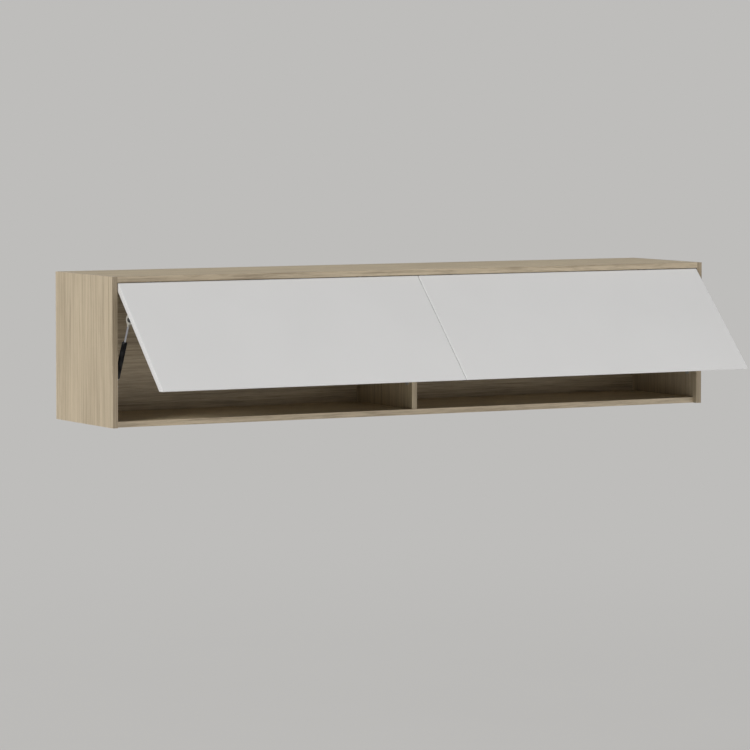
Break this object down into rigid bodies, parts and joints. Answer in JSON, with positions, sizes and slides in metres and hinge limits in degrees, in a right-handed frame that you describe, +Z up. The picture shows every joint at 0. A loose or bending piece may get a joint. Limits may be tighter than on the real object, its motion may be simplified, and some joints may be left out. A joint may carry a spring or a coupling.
{
  "type": "lift up wall cabinet",
  "caption": "Long wall cabinet in oak-look board with white flaps that lift up on concealed hinges and are held open by gas struts.",
  "frame": {"origin": "on the wall plane, midway along the wall rail's screw line", "axes": "+X to the viewer's right along the cabinet, +Y into the wall, +Z up"},
  "size_m": [1.8, 0.6091, 0.39],
  "materials": {
    "oak_side": "oak-look foil, vertical grain, satin",
    "oak_board": "oak-look foil, grain along the width, satin",
    "oak_divider": "oak-look foil, vertical grain, satin",
    "oak_back": "oak-look foil, grain along the width, satin",
    "white_laminate": "white laminate, satin",
    "beech": "turned beech, plain",
    "zinc_casting": "die-cast, bare",
    "zinc_steel": "zinc plated",
    "nickel_steel": "nickel plated",
    "bright_rod": "hard chromed",
    "black_enamel": "black enamel, semi-gloss",
    "grey_fitting": "moulded, matt",
    "grey_bracket": "grey coated steel",
    "black_plastic": "moulded, matt",
    "white_plastic": "moulded, matt",
    "clear_rubber": "soft, clear grey"
  },
  "bodies": {
    "carcass": {"side_left": "oak_side", "side_right": "oak_side", "top_panel": "oak_board", "bottom_panel": "oak_board", "divider": "oak_divider", "back_left": "oak_back", "back_right": "oak_back", "dowels": "beech", "cam_housings": "zinc_casting", "cam_bolts": "zinc_steel", "wall_rail": "zinc_steel", "hanger_housings": "white_plastic", "hanger_hooks": "zinc_steel", "hanger_screws": "zinc_steel", "hinge_plates": "nickel_steel", "hinge_plate_screws": "zinc_steel", "hinge_arms": "nickel_steel", "hinge_arm_screws": "zinc_steel", "hinge_guide_pins": "zinc_steel", "strut_side_brackets": "grey_bracket", "strut_side_screws": "zinc_steel", "bumpers": "clear_rubber"},
    "left_flap": {"flap_left": "white_laminate", "hinge_cups_left": "nickel_steel", "hinge_links_left": "nickel_steel", "hinge_cup_pins_left": "zinc_steel", "hinge_cup_screws_left": "zinc_steel", "strut_flap_brackets_left": "grey_bracket", "strut_flap_screws_left": "zinc_steel"},
    "left_tubes": {"strut_tubes_left": "black_enamel", "strut_tube_eyes_left": "grey_fitting", "strut_rod_guides_left": "black_plastic"},
    "left_rods": {"strut_rods_left": "bright_rod", "strut_pistons_left": "black_plastic", "strut_rod_heads_left": "grey_fitting", "strut_head_caps_left": "black_plastic"},
    "right_flap": {"flap_right": "white_laminate", "hinge_cups_right": "nickel_steel", "hinge_links_right": "nickel_steel", "hinge_cup_pins_right": "zinc_steel", "hinge_cup_screws_right": "zinc_steel", "strut_flap_brackets_right": "grey_bracket", "strut_flap_screws_right": "zinc_steel"},
    "right_tubes": {"strut_tubes_right": "black_enamel", "strut_tube_eyes_right": "grey_fitting", "strut_rod_guides_right": "black_plastic"},
    "right_rods": {"strut_rods_right": "bright_rod", "strut_pistons_right": "black_plastic", "strut_rod_heads_right": "grey_fitting", "strut_head_caps_right": "black_plastic"}
  },
  "joints": [
    {"name": "left_flap_hinge", "type": "hinge", "parent": "carcass", "child": "left_flap", "pos_m": [0, -0.348, 0.03], "axis": [-1, 0, 0], "range_deg": [-45, 0]},
    {"name": "left_tube_pivot", "type": "hinge", "parent": "carcass", "child": "left_tubes", "pos_m": [0, -0.304, -0.237], "axis": [1, 0, 0], "range_deg": [-22.68, 0]},
    {"name": "left_rod_slide", "type": "slide", "parent": "left_tubes", "child": "left_rods", "axis": [0, -0.4463, 0.8949], "range_m": [-0.02523, 0]},
    {"name": "right_flap_hinge", "type": "hinge", "parent": "carcass", "child": "right_flap", "pos_m": [0, -0.348, 0.03], "axis": [-1, 0, 0], "range_deg": [-45, 0]},
    {"name": "right_tube_pivot", "type": "hinge", "parent": "carcass", "child": "right_tubes", "pos_m": [0, -0.304, -0.237], "axis": [1, 0, 0], "range_deg": [-22.68, 0]},
    {"name": "right_rod_slide", "type": "slide", "parent": "right_tubes", "child": "right_rods", "axis": [0, -0.4463, 0.8949], "range_m": [-0.02523, 0]}
  ],
  "couplings": [
    {"joint": "left_tube_pivot", "follows": "left_flap_hinge", "ratio": 0.50402},
    {"joint": "left_rod_slide", "follows": "left_flap_hinge", "m_per_rad": 0.032126},
    {"joint": "right_tube_pivot", "follows": "right_flap_hinge", "ratio": 0.50402},
    {"joint": "right_rod_slide", "follows": "right_flap_hinge", "m_per_rad": 0.032126}
  ]
}
